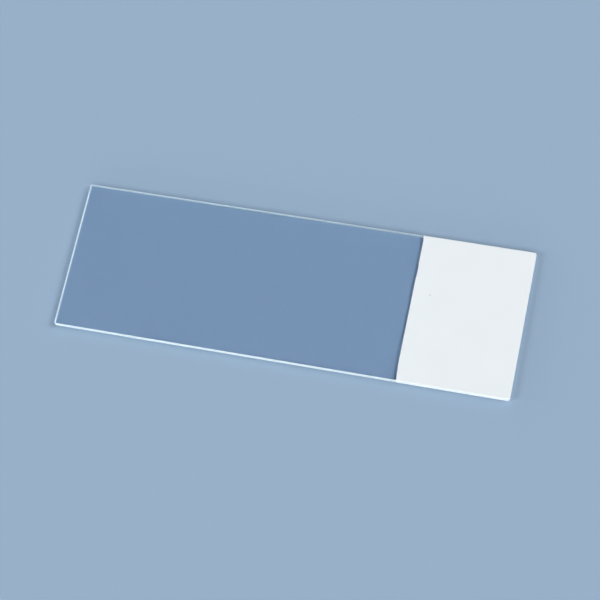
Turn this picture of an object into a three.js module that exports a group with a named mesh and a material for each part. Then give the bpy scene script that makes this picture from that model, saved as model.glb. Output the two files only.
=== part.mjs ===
// A microscope slide: a clear glass plate with ground edges, and a marking area of opaque white
// ink, which covers one end of the top face and runs down over the ground edges there.
//
// Millimetres, +Z up. The origin is the middle of the plate's underside. +X runs along the slide,
// towards the marking area, and +Y runs across it.

import * as THREE from 'three';

// Glass plate
const slideLength = 75;
const slideWidth = 25;
const slideThickness = 1;
const edgeBevel = 0.1; // each leg of the 45-degree bevel ground round both faces
const cornerRadius = 0.3; // the four upright corners, dubbed so that they don't cut

// Marking area
const markingLength = 18.3; // from the end of the plate to the inner edge of the ink
const inkThickness = 0.02; // square to the glass, on the face, the bevel and the ground edge
const bareFoot = 0.03; // height of the lower bevel's bare rim, which the ink stops above

const stepsPerCorner = 8; // straight steps in each rounded corner
const quarterTurn = Math.PI / 2;

// The plate's corners, counterclockwise from the front of the marked end. Each has the side of the
// middle that it is on, along X and along Y, and the quarter turn in which its arc starts.
const markedCorners = [
  [1, -1, -1],
  [1, 1, 0],
];
const clearCorners = [
  [-1, 1, 1],
  [-1, -1, 2],
];

// The points of some corners of the plate's outline, drawn in by an inset. A negative inset lets
// the outline out.
function cornerPoints(corners, inset, height) {
  const radius = cornerRadius - inset;
  return corners.flatMap(([alongX, alongY, firstQuarter]) => {
    const arc = new THREE.EllipseCurve(
      alongX * (slideLength / 2 - cornerRadius),
      alongY * (slideWidth / 2 - cornerRadius),
      radius,
      radius,
      firstQuarter * quarterTurn,
      (firstQuarter + 1) * quarterTurn,
    );
    return arc.getPoints(stepsPerCorner).map(({ x, y }) => new THREE.Vector3(x, y, height));
  });
}

// A row of points all round the plate, which ends on its first point
function plateRing(inset, height) {
  const points = cornerPoints([...markedCorners, ...clearCorners], inset, height);
  return [...points, points[0]];
}

// A row of points round the marked end only, from the inner edge of the ink and back to it
function inkRun(inset, height) {
  const innerEdge = slideLength / 2 - markingLength;
  const points = cornerPoints(markedCorners, inset, height);
  const atInnerEdge = ({ y }) => new THREE.Vector3(innerEdge, y, height);
  return [atInnerEdge(points[0]), ...points, atInnerEdge(points.at(-1))];
}

// The triangles between two rows. Where the rows run counterclockwise, they face out if the second
// row is above the first, and down if it is outside the first.
function strip(first, second) {
  const triangles = [];
  for (let step = 1; step < first.length; step += 1) {
    triangles.push(first[step - 1], first[step], second[step]);
    triangles.push(first[step - 1], second[step], second[step - 1]);
  }
  return triangles;
}

// The triangles that fill a level, counterclockwise row. They face up.
function levelFace(row) {
  const outline = [...row];
  const triangles = THREE.ShapeUtils.triangulateShape(outline, []);
  return triangles.flat().map((corner) => outline[corner]);
}

const faceDown = (triangles) => triangles.toReversed();

function solid(...faces) {
  const geometry = new THREE.BufferGeometry().setFromPoints(faces.flat());
  geometry.computeVertexNormals();
  return geometry;
}

// Both faces of the plate are drawn in by the bevel, so the edge between the bevels has the full
// length and width.
function glassPlate() {
  const underside = plateRing(edgeBevel, 0);
  const edgeFoot = plateRing(0, edgeBevel);
  const edgeHead = plateRing(0, slideThickness - edgeBevel);
  const top = plateRing(edgeBevel, slideThickness);
  return solid(
    faceDown(levelFace(underside)),
    strip(underside, edgeFoot),
    strip(edgeFoot, edgeHead),
    strip(edgeHead, top),
    levelFace(top),
  );
}

// The ink is a skin of even thickness. Its inside is the glass's own outside, from its foot on the
// lower bevel, up the edge and over the upper bevel to the top face. At each 45-degree turn its
// outside turns further on, by the tangent of half the turn. Its foot is cut level.
function inkSkin() {
  const turnLag = inkThickness * Math.tan(quarterTurn / 4);
  const footInset = edgeBevel - bareFoot;
  const edgeHead = slideThickness - edgeBevel;
  const inside = [
    inkRun(footInset, bareFoot),
    inkRun(0, edgeBevel),
    inkRun(0, edgeHead),
    inkRun(edgeBevel, slideThickness),
  ];
  const outside = [
    inkRun(footInset - inkThickness * Math.SQRT2, bareFoot),
    inkRun(-inkThickness, edgeBevel - turnLag),
    inkRun(-inkThickness, edgeHead + turnLag),
    inkRun(edgeBevel - turnLag, slideThickness + inkThickness),
  ];
  const innerEnd = (rows) => [
    ...rows.map((row) => row[0]),
    ...rows.map((row) => row.at(-1)).toReversed(),
  ];
  return solid(
    strip(outside[0], outside[1]),
    strip(outside[1], outside[2]),
    strip(outside[2], outside[3]),
    levelFace(outside[3]),
    faceDown(levelFace(inside[3])),
    strip(inside[3], inside[2]),
    strip(inside[2], inside[1]),
    strip(inside[1], inside[0]),
    strip(inside[0], outside[0]),
    strip(innerEnd(outside), innerEnd(inside)),
  );
}

const clearGlass = new THREE.MeshStandardMaterial({
  color: '#d6ecf2',
  roughness: 0.03,
  metalness: 0,
  transparent: true,
  opacity: 0.35,
});

const whiteInk = new THREE.MeshStandardMaterial({
  color: '#ecf1f4',
  roughness: 0.75,
  metalness: 0,
});

const plate = new THREE.Mesh(glassPlate(), clearGlass);
plate.name = 'glass_slide';

const marking = new THREE.Mesh(inkSkin(), whiteInk);
marking.name = 'marking_area';

const slide = new THREE.Group();
slide.name = 'microscope_slide';
slide.add(plate, marking);

export default slide;
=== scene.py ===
import math

import bpy
from mathutils import Matrix, Vector


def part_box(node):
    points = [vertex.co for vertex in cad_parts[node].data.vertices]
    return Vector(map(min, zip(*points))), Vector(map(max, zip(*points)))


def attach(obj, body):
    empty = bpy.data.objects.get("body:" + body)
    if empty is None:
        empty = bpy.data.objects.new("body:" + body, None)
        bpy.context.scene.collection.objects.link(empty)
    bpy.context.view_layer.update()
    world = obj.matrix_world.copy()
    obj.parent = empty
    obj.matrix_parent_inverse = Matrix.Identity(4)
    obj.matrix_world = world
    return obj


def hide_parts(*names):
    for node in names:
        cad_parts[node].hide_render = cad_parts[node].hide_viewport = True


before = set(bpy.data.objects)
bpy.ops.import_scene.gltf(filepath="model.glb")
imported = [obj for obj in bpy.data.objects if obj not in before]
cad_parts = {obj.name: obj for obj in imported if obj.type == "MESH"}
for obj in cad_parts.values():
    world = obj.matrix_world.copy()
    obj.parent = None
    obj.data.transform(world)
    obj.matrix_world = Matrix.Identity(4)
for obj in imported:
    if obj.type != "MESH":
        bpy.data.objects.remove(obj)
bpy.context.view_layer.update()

MM = 0.001

# ---- sizes, from the frame -------------------------------------------------------------------

plate_low, plate_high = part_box("glass_slide")
ink_low, ink_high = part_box("marking_area")
plate_size = plate_high - plate_low
plate_middle = (plate_low + plate_high) / 2

# ---- sizes of the finish -----------------------------------------------------------------------

BEVEL = 0.1 * MM  # each leg of the ground bevel
CORNER_RADIUS = 0.3 * MM  # the plate's four upright corners
CORNER_STEPS = 24  # points in each rounded corner of the outline
PLATE_ARRIS = 0.012 * MM  # how far the grinding belt rounds an arris
PLATE_STEP = 0.08 * MM  # along the rim
BEVEL_WANDER = 0.05 * MM  # between the narrowest and the widest bevel
FLANK_WANDER = 0.006 * MM  # how far in the flank strays
PLATE_SEED = 11.0
ARRIS_STEPS = 2  # points in each rounded arris
WELD = 1e-7  # joins the plate's lids to its edge
LEVEL_ENOUGH = 0.9999  # the square of a face's upward part, above which it is one of the two flat faces

INK_BED = 0.005 * MM  # how far the ink is keyed into the glass
INK_STEP = 0.1 * MM  # along the inner edge
INK_WANDER = 0.045 * MM  # the most that the inner edge strays, from side to side
INK_FLARE = 0.17 * MM  # how far it draws back at the front
# Each step of the flare: how far from the front it starts and ends, and its share
FLARE_STEPS = ((3.0 * MM, 1.4 * MM, 0.55), (1.4 * MM, 0.0, 0.45))
INK_CREEP = 0.08 * MM  # how far it creeps on at the rear
CREEP_REACH = (1.1 * MM, 0.2 * MM)  # from the rear edge, where it starts and where it is whole
INK_NOTCH = 0.07 * MM  # how deep its one notch is
# Each side of the notch: where it starts and where it is whole, in plate widths from the middle
NOTCH_SIDES = ((0.2, 0.226), (0.308, 0.284))
INK_SEED = 21.0
INK_SHEERNESS = 0.14  # the share of light that gets through the ink
INK_SPECKS = {(22.0, 2.5): 0.14, (20.0, 9.0): 0.05}  # place on the plate and radius, in millimetres

GLASS_IOR = 1.517
INK_IOR = 1.5
FROST_SHEERNESS = 0.4  # the share of light that gets through the ground edge


# ---- node trees written as expressions ---------------------------------------------------------


def socket_called(sockets, name):
    """A node's socket by its number, its identifier or its label."""
    if isinstance(name, int):
        return sockets[name]
    return next(socket for socket in sockets if name in (socket.identifier, socket.name))


class Value:
    """A node's output. Python's operators on it add Math nodes."""

    def __init__(self, nodes, socket):
        self.nodes = nodes
        self.socket = socket

    def worked(self, operation, *operands):
        return self.nodes.add("ShaderNodeMath", {"operation": operation}, dict(enumerate(operands)))

    def __add__(self, other):
        return self.worked("ADD", self, other)

    def __radd__(self, other):
        return self.worked("ADD", other, self)

    def __sub__(self, other):
        return self.worked("SUBTRACT", self, other)

    def __rsub__(self, other):
        return self.worked("SUBTRACT", other, self)

    def __mul__(self, other):
        return self.worked("MULTIPLY", self, other)

    def __rmul__(self, other):
        return self.worked("MULTIPLY", other, self)

    def __truediv__(self, other):
        return self.worked("DIVIDE", self, other)

    def __rtruediv__(self, other):
        return self.worked("DIVIDE", other, self)

    def __neg__(self):
        return self.worked("MULTIPLY", self, -1.0)

    def __getitem__(self, name):
        """Another output of the same node."""
        return Value(self.nodes, self.socket.node.outputs[name])


class Nodes:
    """A shader or geometry tree that is being written."""

    def __init__(self, tree):
        self.tree = tree

    def add(self, kind, settings=None, sockets=None):
        """Adds a node, sets its settings and then its sockets, and gives its first output in use. A
        socket gets a number, a Value, or a list of Values if it takes several links."""
        node = self.tree.nodes.new(kind)
        for name, setting in (settings or {}).items():
            setattr(node, name, setting)
        for name, given in (sockets or {}).items():
            socket = socket_called(node.inputs, name)
            if isinstance(given, Value):
                given = [given]
            if isinstance(given, list):
                for value in given:
                    self.tree.links.new(value.socket, socket)
            else:
                socket.default_value = given
        shown = [output for output in node.outputs if output.enabled]
        return Value(self, shown[0]) if shown else None

    def mix_colours(self, share, first, second):
        return self.add(
            "ShaderNodeMix",
            {"data_type": "RGBA"},
            {"Factor": share, "A_Color": first, "B_Color": second},
        )

    def vector(self, x=0.0, y=0.0, z=0.0):
        return self.add("ShaderNodeCombineXYZ", None, {"X": x, "Y": y, "Z": z})

    def vectors(self, operation, first, second):
        return self.add("ShaderNodeVectorMath", {"operation": operation}, {0: first, 1: second})

    def parts(self, vector):
        split = self.add("ShaderNodeSeparateXYZ", None, {"Vector": vector})
        return split["X"], split["Y"], split["Z"]

    def eased(self, value, start, end, low=0.0, high=1.0):
        """Goes smoothly from low to high as value goes from start to end."""
        return self.add(
            "ShaderNodeMapRange",
            {"interpolation_type": "SMOOTHSTEP"},
            {"Value": value, "From Min": start, "From Max": end, "To Min": low, "To Max": high},
        )

    def larger(self, first, second):
        return self.add("FunctionNodeCompare", {"operation": "GREATER_THAN"}, {0: first, 1: second})

    def both(self, first, second):
        return self.add("FunctionNodeBooleanMath", {"operation": "AND"}, {0: first, 1: second})

    def opposite(self, first):
        return self.add("FunctionNodeBooleanMath", {"operation": "NOT"}, {0: first})

    def noise(self, at, grain, detail=2.0, roughness=0.5, seed=0.0):
        """Noise from 0 to 1, with features about grain metres across."""
        return self.add(
            "ShaderNodeTexNoise",
            {"noise_dimensions": "4D"},
            {"Vector": at, "W": seed, "Scale": 1 / grain, "Detail": detail, "Roughness": roughness},
        )

    def kept(self, geometry, **fields):
        """Keeps vector fields as they are at this step. Gives the geometry and then each field."""
        caught = self.add("GeometryNodeCaptureAttribute", None, {"Geometry": geometry})
        node = caught.socket.node
        for name, field in fields.items():
            node.capture_items.new("VECTOR", name)
            self.tree.links.new(field.socket, node.inputs[name])
        return [caught["Geometry"]] + [caught[name] for name in fields]

    def point_list(self, points):
        """An open curve of straight stretches through a few points."""
        line = self.add("GeometryNodeMeshLine", None, {"Count": len(points)})
        index = self.add("GeometryNodeInputIndex")
        place = self.add("GeometryNodeIndexSwitch", {"data_type": "VECTOR"}, {"Index": index})
        switch = place.socket.node
        while len(switch.index_switch_items) < len(points):
            switch.index_switch_items.new()
        for number, point in enumerate(points, start=1):
            self.tree.links.new(point.socket, switch.inputs[number])
        place = Value(self, switch.outputs[0])
        placed = self.add("GeometryNodeSetPosition", None, {"Geometry": line, "Position": place})
        return self.add("GeometryNodeMeshToCurve", None, {"Mesh": placed})


def geometry_tree(name, inputs):
    """A Geometry Nodes tree with one named input for each size, and its group input as a Value."""
    tree = bpy.data.node_groups.new(name, "GeometryNodeTree")
    tree.interface.new_socket("Geometry", in_out="OUTPUT", socket_type="NodeSocketGeometry")
    for label, kind in inputs.items():
        tree.interface.new_socket(label, in_out="INPUT", socket_type=kind)
    nodes = Nodes(tree)
    return nodes, nodes.add("NodeGroupInput")


def finished_shape(nodes, geometry, material):
    """Flat-shaded and realized, in one material."""
    geometry = nodes.add("GeometryNodeSetShadeSmooth", None, {"Geometry": geometry, "Shade Smooth": False})
    geometry = nodes.add("GeometryNodeRealizeInstances", None, {"Geometry": geometry})
    return nodes.add("GeometryNodeSetMaterial", None, {"Geometry": geometry, "Material": material})


def finish_tree(nodes, geometry):
    nodes.add("NodeGroupOutput", None, {"Geometry": geometry})


def made_piece(name, nodes, sizes):
    """Runs a tree once and keeps what it makes as a plain mesh object at the origin."""
    blank = bpy.data.objects.new(name + "_blank", bpy.data.meshes.new(name + "_blank"))
    bpy.context.scene.collection.objects.link(blank)
    modifier = blank.modifiers.new("make", "NODES")
    modifier.node_group = nodes.tree
    for item in nodes.tree.interface.items_tree:
        if item.in_out == "INPUT":
            modifier[item.identifier] = sizes[item.name]
    seen = bpy.context.evaluated_depsgraph_get()
    mesh = bpy.data.meshes.new_from_object(blank.evaluated_get(seen))
    blank.modifiers.remove(modifier)
    bpy.data.objects.remove(blank)
    for index in reversed(range(len(mesh.materials))):
        if mesh.materials[index] is None:
            mesh.materials.pop(index=index)
    mesh.name = name
    piece = bpy.data.objects.new(name, mesh)
    bpy.context.scene.collection.objects.link(piece)
    return piece


def swept_edge(nodes, rim, section):
    """Sweeps a section round a rim that lies in the XY plane. Gives the mesh, the place on the rim
    that each point came from, the direction out of the rim there, and the place in the section."""
    out = nodes.vectors("CROSS_PRODUCT", nodes.add("GeometryNodeInputTangent"), (0.0, 0.0, 1.0))
    rim, rim_place, outward = nodes.kept(
        rim, rim_place=nodes.add("GeometryNodeInputPosition"), outward=out
    )
    section, section_place = nodes.kept(section, section_place=nodes.add("GeometryNodeInputPosition"))
    mesh = nodes.add("GeometryNodeCurveToMesh", None, {"Curve": rim, "Profile Curve": section})
    mesh = nodes.add("GeometryNodeFlipFaces", None, {"Mesh": mesh})
    return mesh, rim_place, outward, section_place


def lid(nodes, mesh, above):
    """Closes the open loop of a swept edge on one side of a height, level, as one face that points up."""
    edge_of_one = nodes.add(
        "FunctionNodeCompare",
        {"data_type": "INT", "operation": "EQUAL"},
        {"A_INT": nodes.add("GeometryNodeInputMeshEdgeNeighbors"), "B_INT": 1},
    )
    chosen = nodes.both(edge_of_one, above)
    loop = nodes.add("GeometryNodeMeshToCurve", None, {"Mesh": mesh, "Selection": chosen})
    return nodes.add("GeometryNodeFillCurve", {"mode": "NGONS"}, {"Curve": loop})


# ---- glass plate -------------------------------------------------------------------------------

PLATE_INPUTS = dict.fromkeys(
    [
        "Length",
        "Width",
        "Thickness",
        "Bevel",
        "Corner Radius",
        "Arris",
        "Step",
        "Bevel Wander",
        "Flank Wander",
        "Seed",
    ],
    "NodeSocketFloat",
)
BEVEL_TURN = math.radians(45.0)
TURN_LAG = math.tan(BEVEL_TURN / 2)  # an even skin's outside turns this much of its thickness later


def ground_plate(nodes, given, skin=0.0):
    """A plate cut from sheet, with its edge ground flat and bevelled on both faces, and with an even
    skin all over. It stands on its underside, with its middle over the origin."""
    thickness = given["Thickness"]
    bevel = given["Bevel"]
    seed = given["Seed"]
    outline = nodes.add(
        "GeometryNodeCurvePrimitiveQuadrilateral",
        None,
        {"Width": given["Length"], "Height": given["Width"]},
    )
    outline = nodes.add(
        "GeometryNodeFilletCurve",
        {"mode": "POLY"},
        {"Curve": outline, "Count": CORNER_STEPS, "Radius": given["Corner Radius"]},
    )
    rim = nodes.add(
        "GeometryNodeResampleCurve", {"mode": "LENGTH"}, {"Curve": outline, "Length": given["Step"]}
    )

    # The section goes from the flat of the underside, round the edge, to the flat of the top face.
    low = -skin
    high = thickness + skin
    lag = skin * TURN_LAG
    face_inset = bevel * -2.0
    bevel_inset = lag - bevel
    section = nodes.point_list(
        [
            nodes.vector(face_inset, low),
            nodes.vector(bevel_inset, low),
            nodes.vector(skin, bevel - lag),
            nodes.vector(skin, thickness - bevel + lag),
            nodes.vector(bevel_inset, high),
            nodes.vector(face_inset, high),
        ]
    )
    section = nodes.add(
        "GeometryNodeFilletCurve",
        {"mode": "POLY"},
        {"Curve": section, "Count": ARRIS_STEPS, "Radius": given["Arris"]},
    )
    edge, rim_place, outward, section_place = swept_edge(nodes, rim, section)

    # The bevels wander in width, and the flank between them a little. Nothing passes the full size.
    across, up, _ = nodes.parts(section_place)
    wander_place = nodes.vectors("ADD", rim_place, nodes.vector(0.0, 0.0, up))
    slow = nodes.noise(wander_place, 1.1 * MM, detail=1.0, seed=seed)
    quick = nodes.noise(wander_place, 0.3 * MM, roughness=0.6, seed=seed + 5.0)
    wander = slow * 0.6 + quick * 0.4
    on_bevel = nodes.eased(across, 0.0, -bevel)
    inward = on_bevel * given["Bevel Wander"] * (wander - 0.5) - given["Flank Wander"] * wander
    reach = nodes.add(
        "ShaderNodeVectorMath", {"operation": "SCALE"}, {0: outward, "Scale": across + inward}
    )
    place = nodes.vectors("ADD", wander_place, reach)
    edge = nodes.add("GeometryNodeSetPosition", None, {"Geometry": edge, "Position": place})

    _, _, height = nodes.parts(nodes.add("GeometryNodeInputPosition"))
    upper = nodes.larger(height, thickness * 0.5)
    top = nodes.add(
        "GeometryNodeSetPosition",
        None,
        {"Geometry": lid(nodes, edge, upper), "Offset": nodes.vector(0.0, 0.0, high)},
    )
    underside = nodes.add("GeometryNodeFlipFaces", None, {"Mesh": lid(nodes, edge, nodes.opposite(upper))})
    underside = nodes.add(
        "GeometryNodeSetPosition", None, {"Geometry": underside, "Offset": nodes.vector(0.0, 0.0, low)}
    )
    whole = nodes.add("GeometryNodeJoinGeometry", None, {"Geometry": [edge, top, underside]})
    return nodes.add("GeometryNodeMergeByDistance", None, {"Geometry": whole, "Distance": WELD})


def plate_tree():
    """The whole plate, ground all over apart from its two level faces, which are polished."""
    nodes, given = geometry_tree(
        "ground plate",
        {**PLATE_INPUTS, "Polished": "NodeSocketMaterial", "Ground": "NodeSocketMaterial"},
    )
    whole = finished_shape(nodes, ground_plate(nodes, given), given["Ground"])
    _, _, facing = nodes.parts(nodes.add("GeometryNodeInputNormal"))
    level = nodes.larger(facing * facing, LEVEL_ENOUGH)
    whole = nodes.add(
        "GeometryNodeSetMaterial",
        None,
        {"Geometry": whole, "Selection": level, "Material": given["Polished"]},
    )
    finish_tree(nodes, whole)
    return nodes


# ---- ink skin ----------------------------------------------------------------------------------


INK_INPUTS = dict.fromkeys(
    [
        "Ink Thickness",
        "Ink Bed",
        "Marking Length",
        "Foot",
        "Edge Step",
        "Wander",
        "Flare",
        "Creep",
        "Notch",
        "Ink Seed",
    ],
    "NodeSocketFloat",
)


def inner_edge_shift(nodes, given, along_y):
    """How far the ink's inner edge lies towards the marked end. It wanders, draws back at the front,
    creeps on at the rear, and has one notch."""
    width = given["Width"]
    fine = nodes.noise(
        nodes.vector(along_y, 0.0, 0.0), 0.9 * MM, roughness=0.55, seed=given["Ink Seed"]
    )
    from_front = along_y + width * 0.5
    early, late = [
        nodes.eased(from_front, start, end, high=share) for start, end, share in FLARE_STEPS
    ]
    flare = (early + late) * given["Flare"]
    creep = nodes.eased(width - from_front, *CREEP_REACH) * given["Creep"]
    into_notch, out_of_notch = [
        nodes.eased(along_y, width * start, width * end) for start, end in NOTCH_SIDES
    ]
    notch = into_notch * out_of_notch * given["Notch"]
    return (fine - 0.5) * given["Wander"] + flare - creep + notch


def ink_tree():
    """The ink is the part of a skin on the plate that lies between its inner edge and the marked end,
    and above its foot. Its inner edge isn't quite straight."""
    nodes, given = geometry_tree(
        "ink skin", {**PLATE_INPUTS, **INK_INPUTS, "Ink": "NodeSocketMaterial"}
    )
    margin = given["Thickness"]
    block_width = given["Width"] + margin * 2.0
    block_length = given["Marking Length"] + margin
    block = nodes.add(
        "GeometryNodeMeshCube",
        None,
        {
            "Size": nodes.vector(block_length, block_width, margin * 2.0),
            "Vertices X": 2,
            "Vertices Y": block_width / given["Edge Step"],
            "Vertices Z": 2,
        },
    )
    to_end = given["Length"] * 0.5 + margin - block_length * 0.5
    block = nodes.add(
        "GeometryNodeSetPosition",
        None,
        {"Geometry": block, "Offset": nodes.vector(to_end, 0.0, given["Foot"] + margin)},
    )

    along_x, along_y, _ = nodes.parts(nodes.add("GeometryNodeInputPosition"))
    block = nodes.add(
        "GeometryNodeSetPosition",
        None,
        {
            "Geometry": block,
            "Selection": nodes.opposite(nodes.larger(along_x, to_end)),
            "Offset": nodes.vector(inner_edge_shift(nodes, given, along_y), 0.0, 0.0),
        },
    )

    outside = ground_plate(nodes, given, given["Ink Thickness"])
    inside = ground_plate(nodes, given, -given["Ink Bed"])
    shared = {"operation": "INTERSECT", "solver": "MANIFOLD"}
    skin = nodes.add("GeometryNodeMeshBoolean", shared, {"Mesh 2": [outside, block]})
    left_over = {"operation": "DIFFERENCE", "solver": "MANIFOLD"}
    skin = nodes.add("GeometryNodeMeshBoolean", left_over, {"Mesh 1": skin, "Mesh 2": inside})
    finish_tree(nodes, finished_shape(nodes, skin, given["Ink"]))
    return nodes


# ---- finishes ----------------------------------------------------------------------------------


def new_finish(name):
    finish = bpy.data.materials.new(name)
    finish.use_nodes = True
    finish.node_tree.nodes.clear()
    nodes = Nodes(finish.node_tree)
    place = nodes.add("ShaderNodeTexCoord")["Object"]
    return finish, nodes, place


def close_finish(nodes, surface):
    nodes.add("ShaderNodeOutputMaterial", None, {"Surface": surface})


def let_through(nodes, front, share, colour, bump):
    """A surface that passes on a share of the light on its far side, in one colour all over."""
    back = nodes.add("ShaderNodeBsdfTranslucent", None, {"Color": colour, "Normal": bump})
    return nodes.add("ShaderNodeMixShader", None, {0: share, 1: front, 2: back})


def clear_glass():
    """Polished soda-lime glass, clean but for the faintest wipe marks."""
    finish, nodes, place = new_finish("clear_glass_polished")
    wiped = nodes.add(
        "ShaderNodeMapping",
        None,
        {"Vector": place, "Rotation": (0.0, 0.0, 0.35), "Scale": (0.15, 1.0, 1.0)},
    )
    smear = nodes.noise(wiped, 2.5 * MM, detail=3.0, roughness=0.55, seed=3.0)
    surface = nodes.add(
        "ShaderNodeBsdfPrincipled",
        None,
        {
            "Base Color": (0.86, 0.91, 0.975, 1.0),
            "Roughness": nodes.eased(smear, 0.35, 0.75, low=0.004, high=0.03),
            "IOR": GLASS_IOR,
            "Transmission Weight": 1.0,
        },
    )
    close_finish(nodes, surface)
    return finish


def ground_glass():
    """The frosted edge that the grinding belt leaves: fine lines along it, and a fine grain."""
    finish, nodes, place = new_finish("clear_glass_ground")
    belt = nodes.add("ShaderNodeMapping", None, {"Vector": place, "Scale": (0.06, 0.06, 1.0)})
    lines = nodes.noise(belt, 0.05 * MM, detail=3.0, roughness=0.6, seed=1.0)
    grain = nodes.noise(place, 0.03 * MM, seed=2.0)
    height = lines * 0.5 + grain * 0.5
    bump = nodes.add(
        "ShaderNodeBump", None, {"Strength": 0.7, "Distance": 0.014 * MM, "Height": height}
    )
    frosted = nodes.eased(height, 0.4, 0.6)
    colour = nodes.mix_colours(frosted, (0.8, 0.9, 0.935, 1.0), (0.97, 0.99, 0.995, 1.0))
    front = nodes.add(
        "ShaderNodeBsdfPrincipled",
        None,
        {
            "Base Color": colour,
            "Roughness": nodes.eased(lines, 0.3, 0.7, low=0.5, high=0.7),
            "IOR": GLASS_IOR,
            "Normal": bump,
        },
    )
    close_finish(nodes, let_through(nodes, front, FROST_SHEERNESS, (0.885, 0.945, 0.965, 1.0), bump))
    return finish


def white_ink():
    """White ceramic ink, fired matt so that it takes a pencil. It lets a little light through."""
    finish, nodes, place = new_finish("white_ink_matt")
    cloud = nodes.noise(place, 5.0 * MM, detail=3.0, seed=4.0)
    tooth = nodes.noise(place, 0.06 * MM, detail=3.0, roughness=0.6, seed=6.0)
    bump = nodes.add(
        "ShaderNodeBump", None, {"Strength": 0.35, "Distance": 0.004 * MM, "Height": tooth}
    )
    colour = nodes.mix_colours(cloud, (0.88, 0.9, 0.915, 1.0), (0.91, 0.925, 0.935, 1.0))
    for (x, y), radius in INK_SPECKS.items():
        to_speck = nodes.vectors("SUBTRACT", place, (x * MM, y * MM, ink_high.z))
        away = nodes.add("ShaderNodeVectorMath", {"operation": "LENGTH"}, {0: to_speck})["Value"]
        dirt = nodes.eased(away, radius * 1.6 * MM, radius * 0.4 * MM)  # soft from 1.6 radii to 0.4
        colour = nodes.mix_colours(dirt, colour, (0.66, 0.68, 0.69, 1.0))
    front = nodes.add(
        "ShaderNodeBsdfPrincipled",
        None,
        {
            "Base Color": colour,
            "Roughness": nodes.eased(tooth, 0.3, 0.7, low=0.62, high=0.8),
            "IOR": INK_IOR,
            "Normal": bump,
        },
    )
    close_finish(nodes, let_through(nodes, front, INK_SHEERNESS, (0.895, 0.913, 0.925, 1.0), bump))
    return finish


# ---- camera ------------------------------------------------------------------------------------

CAMERA_LENS = 118.59  # focal length in millimetres, on Blender's own 36 mm sensor
CAMERA_AZIMUTH = math.radians(28.90)
CAMERA_ELEVATION = math.radians(68.74)
CAMERA_ROLL = math.radians(-18.02)
CAMERA_DISTANCE = 318.58 * MM
CAMERA_AIM = Vector((1.508, -1.785, 0.0)) * MM  # from the middle of the plate's top face


def toward(azimuth, elevation):
    """The direction at an azimuth from the front towards the marked end, and an elevation."""
    level = math.cos(elevation)
    return Vector((math.sin(azimuth) * level, -math.cos(azimuth) * level, math.sin(elevation)))


def place_camera():
    """The camera looks at the plate's top face."""
    data = bpy.data.cameras.new("camera")
    data.lens = CAMERA_LENS
    data.clip_start = 0.01
    data.clip_end = 20.0
    camera = bpy.data.objects.new("camera", data)
    bpy.context.scene.collection.objects.link(camera)
    aim = Vector((plate_middle.x, plate_middle.y, plate_high.z)) + CAMERA_AIM
    back = toward(CAMERA_AZIMUTH, CAMERA_ELEVATION)
    turn = back.to_track_quat("Z", "Y").to_matrix().to_4x4() @ Matrix.Rotation(CAMERA_ROLL, 4, "Z")
    camera.matrix_world = Matrix.Translation(aim + back * CAMERA_DISTANCE) @ turn
    bpy.context.scene.camera = camera


# ---- floor and light ---------------------------------------------------------------------------

FLOOR_GAP = 0.03 * MM  # between the floor and the plate's underside
FLOOR_REACH = 12.0  # metres each way
BACKDROP = (0.315, 0.435, 0.58)  # what the camera sees past the floor, and what the floor comes out as
LEVEL_LIGHT = (1.04, 1.075, 1.09)  # all the light on a level surface
# Each lamp's name, its azimuth, elevation and spread in degrees, and its share of the lamps' light
LAMPS = [
    ("key", 112.0, 39.0, 36.0, 0.52),
    ("fill", 300.0, 33.0, 24.0, 0.26),
    ("front", 20.0, 42.0, 36.0, 0.22),
]
CEILING_LIGHT = (0.05, 0.06, 0.07)
WALL_LIGHT = (5.5, 5.9, 6.2)
WALL_AZIMUTH = -60.0  # degrees, of its middle
WALL_ENDS = (-0.7, 0.3)  # cosines, from that middle, of where the bright wall starts and is whole
WALL_TOP = 0.35  # sine of the elevation where it ends


def lay_floor():
    """A level matt floor in one colour, which comes out as bright as the backdrop."""
    corners = [(-1, -1), (1, -1), (1, 1), (-1, 1)]
    mesh = bpy.data.meshes.new("floor")
    level = plate_low.z - FLOOR_GAP
    points = [(x * FLOOR_REACH, y * FLOOR_REACH, level) for x, y in corners]
    mesh.from_pydata(points, [], [(0, 1, 2, 3)])
    floor = bpy.data.objects.new("floor", mesh)
    bpy.context.scene.collection.objects.link(floor)
    finish = bpy.data.materials.new("floor_matt")
    finish.use_nodes = True
    surface = finish.node_tree.nodes["Principled BSDF"]
    reflectance = [backdrop / light for backdrop, light in zip(BACKDROP, LEVEL_LIGHT)]
    surface.inputs["Base Color"].default_value = (*reflectance, 1.0)
    surface.inputs["Roughness"].default_value = 1.0
    surface.inputs["Specular IOR Level"].default_value = 0.0
    mesh.materials.append(finish)


def soft_light(name, azimuth, elevation, spread, colour):
    """A broad far light, whose share of the light on a level surface is colour."""
    data = bpy.data.lights.new(name, "SUN")
    data.angle = math.radians(spread)
    peak = max(colour)
    data.color = [part / peak for part in colour]
    data.energy = math.pi * peak / math.sin(math.radians(elevation))
    lamp = bpy.data.objects.new(name, data)
    bpy.context.scene.collection.objects.link(lamp)
    back = toward(math.radians(azimuth), math.radians(elevation))
    lamp.rotation_euler = back.to_track_quat("Z", "Y").to_euler()


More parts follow.
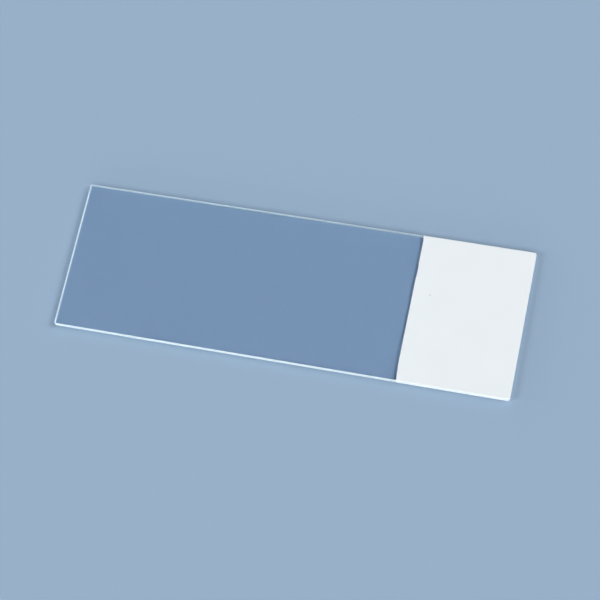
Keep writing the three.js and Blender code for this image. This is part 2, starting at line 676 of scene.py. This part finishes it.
def build_room():
    """A dim ceiling and one bright wall, which the camera itself doesn't see."""
    world = bpy.data.worlds.new("room")
    world.use_nodes = True
    world.node_tree.nodes.clear()
    nodes = Nodes(world.node_tree)
    to_right, to_rear, upward = nodes.parts(nodes.add("ShaderNodeTexCoord")["Generated"])
    middle = toward(math.radians(WALL_AZIMUTH), 0.0)
    wall = nodes.eased(to_right * middle.x + to_rear * middle.y, *WALL_ENDS)
    below = nodes.add(
        "ShaderNodeMapRange",
        None,
        {"Value": upward, "From Min": 0.0, "From Max": WALL_TOP, "To Min": 1.0, "To Max": 0.0},
    )
    room = nodes.mix_colours(wall * below, (*CEILING_LIGHT, 1.0), (*WALL_LIGHT, 1.0))
    from_camera = nodes.add("ShaderNodeLightPath")["Is Camera Ray"]
    shown = nodes.mix_colours(from_camera, room, (*BACKDROP, 1.0))
    background = nodes.add("ShaderNodeBackground", None, {"Color": shown})
    nodes.add("ShaderNodeOutputWorld", None, {"Surface": background})
    bpy.context.scene.world = world


def wall_share():
    """The share of a level surface's light that the wall gives, for each unit of its brightness."""
    start, whole = WALL_ENDS
    total = 0.0
    for turn in range(360):
        part = (math.cos(math.radians(turn)) - start) / (whole - start)
        part = min(max(part, 0.0), 1.0)
        total += part * part * (3 - 2 * part)
    return WALL_TOP**2 / 3 * total / 360


def light_scene():
    """The lamps give what the room leaves of the light on a level surface."""
    share_of_wall = wall_share()
    lamp_light = [
        light - ceiling - (wall - ceiling) * share_of_wall
        for light, ceiling, wall in zip(LEVEL_LIGHT, CEILING_LIGHT, WALL_LIGHT)
    ]
    for name, azimuth, elevation, spread, share in LAMPS:
        soft_light(name, azimuth, elevation, spread, [share * part for part in lamp_light])


def set_light_rules():
    """Plain colours, enough bounces for the light inside the glass, and no clamp on it."""
    scene = bpy.context.scene
    scene.view_settings.view_transform = "Standard"
    scene.cycles.blur_glossy = 0.0
    scene.cycles.sample_clamp_indirect = 0.0
    scene.cycles.max_bounces = 64
    scene.cycles.transmission_bounces = 64
    scene.cycles.glossy_bounces = 64
    scene.cycles.diffuse_bounces = 32


# ---- making ------------------------------------------------------------------------------------

place_camera()
lay_floor()
build_room()
light_scene()
set_light_rules()

plate_sizes = {
    "Length": plate_size.x,
    "Width": plate_size.y,
    "Thickness": plate_size.z,
    "Bevel": BEVEL,
    "Corner Radius": CORNER_RADIUS,
    "Arris": PLATE_ARRIS,
    "Step": PLATE_STEP,
    "Bevel Wander": BEVEL_WANDER,
    "Flank Wander": FLANK_WANDER,
    "Seed": PLATE_SEED,
}
plate = made_piece(
    "ground_glass_plate",
    plate_tree(),
    {**plate_sizes, "Polished": clear_glass(), "Ground": ground_glass()},
)
ink = made_piece(
    "white_ink_film",
    ink_tree(),
    {
        **plate_sizes,
        "Ink Thickness": ink_high.z - plate_high.z,
        "Ink Bed": INK_BED,
        "Marking Length": plate_high.x - ink_low.x,
        "Foot": ink_low.z - plate_low.z,
        "Edge Step": INK_STEP,
        "Wander": INK_WANDER,
        "Flare": INK_FLARE,
        "Creep": INK_CREEP,
        "Notch": INK_NOTCH,
        "Ink Seed": INK_SEED,
        "Ink": white_ink(),
    },
)
for piece in (plate, ink):
    piece.data.transform(Matrix.Translation((plate_middle.x, plate_middle.y, plate_low.z)))

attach(plate, "root")
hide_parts("glass_slide")
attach(ink, "root")
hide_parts("marking_area")
